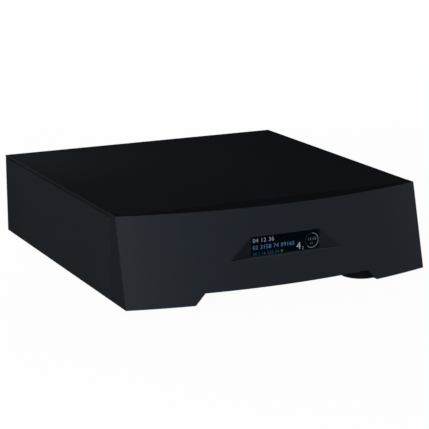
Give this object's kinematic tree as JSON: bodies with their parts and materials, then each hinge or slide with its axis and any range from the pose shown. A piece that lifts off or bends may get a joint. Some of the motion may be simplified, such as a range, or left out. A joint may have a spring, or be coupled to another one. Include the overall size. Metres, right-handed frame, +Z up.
{
  "type": "network music streamer",
  "caption": "Low wide hi-fi streamer case with a bowed, backward-leaning front, a wedge display recess, legs at the front corners and sockets on the inset rear panel.",
  "frame": {"origin": "on the floor under the middle of the case's outline", "axes": "+X to the right seen from the front, +Y to the rear, +Z up"},
  "size_m": [0.35, 0.377, 0.0955],
  "materials": {
    "case": "black anodised, fine bead-blasted satin",
    "foot": "fine-grained black",
    "pad_rubber": "matt black rubber",
    "steel": "zinc-plated steel",
    "window": "smoked acrylic, polished",
    "display": "dark display glass",
    "board": "green solder mask",
    "ribbon": "grey ribbon cable",
    "winding": "wrapped transformer winding",
    "capacitor": "sleeved capacitor",
    "chip": "moulded chip package",
    "heatsink": "black anodised fins",
    "shield": "mill-finish sheet",
    "can": "drawn metal can",
    "brass": "gold-plated brass",
    "wire": "insulated hook-up wire",
    "socket_plastic": "moulded black plastic",
    "fuse_glass": "glass tube fuse",
    "xlr_shell": "black lacquered die casting",
    "ring": "coloured insulating ring",
    "nickel": "nickel plate"
  },
  "bodies": {
    "chassis": {"front_panel": "case", "top_cover": "case", "left_side_panel": "case", "right_side_panel": "case", "bottom_plate": "case", "rear_panel": "case", "foot_front_left": "foot", "foot_front_right": "foot", "foot_rear_left": "foot", "foot_rear_right": "foot", "pad_front_left": "pad_rubber", "pad_front_right": "pad_rubber", "pad_rear_left": "pad_rubber", "pad_rear_right": "pad_rubber", "display_gasket": "pad_rubber", "transformer_pads": "pad_rubber", "joiner_bars": "steel", "case_screws": "steel", "rear_screws": "steel", "foot_screws": "steel", "display_screws": "steel", "transformer_dish": "steel", "transformer_bolt": "steel", "board_screws": "steel", "inlet_pins": "steel", "ground_post": "steel", "display_window": "window", "display_glass": "display", "display_board": "board", "supply_board": "board", "main_board": "board", "output_board": "board", "display_ribbon": "ribbon", "transformer": "winding", "supply_capacitors": "capacitor", "regulators": "chip", "board_chips": "chip", "regulator_heatsink": "heatsink", "processor_heatsink": "heatsink", "shield_wall": "shield", "output_transformers": "can", "board_posts": "brass", "xlr_pins": "brass", "phono_sockets": "brass", "mains_wiring": "wire", "supply_wiring": "wire", "mains_inlet": "socket_plastic", "switch_frame": "socket_plastic", "optical_socket": "socket_plastic", "xlr_sockets": "xlr_shell", "socket_screws": "xlr_shell", "phono_rings": "ring", "bnc_socket": "nickel", "network_ports": "nickel"},
    "rocker": {"power_rocker": "socket_plastic"},
    "drawer": {"fuse_drawer": "socket_plastic", "fuse": "fuse_glass"},
    "ground_nut": {"ground_knob": "brass"},
    "shutter": {"optical_shutter": "socket_plastic"}
  },
  "joints": [
    {"name": "power_rocker_tip", "type": "hinge", "parent": "chassis", "child": "rocker", "pos_m": [-0.085, 0.1735, 0.058], "axis": [-1, 0, 0], "range_deg": [0, 20]},
    {"name": "fuse_drawer_slide", "type": "slide", "parent": "chassis", "child": "drawer", "axis": [0, 1, 0], "range_m": [0, 0.014]},
    {"name": "ground_nut_turn", "type": "hinge", "parent": "chassis", "child": "ground_nut", "pos_m": [-0.034, 0.1825, 0.072], "axis": [0, 1, 0], "continuous": true},
    {"name": "optical_shutter_swing", "type": "hinge", "parent": "chassis", "child": "shutter", "pos_m": [0.002, 0.1759, 0.0383], "axis": [-1, 0, 0], "range_deg": [0, 75], "stiffness_Nm_per_rad": 0.0005, "springref_deg": -11.46}
  ]
}
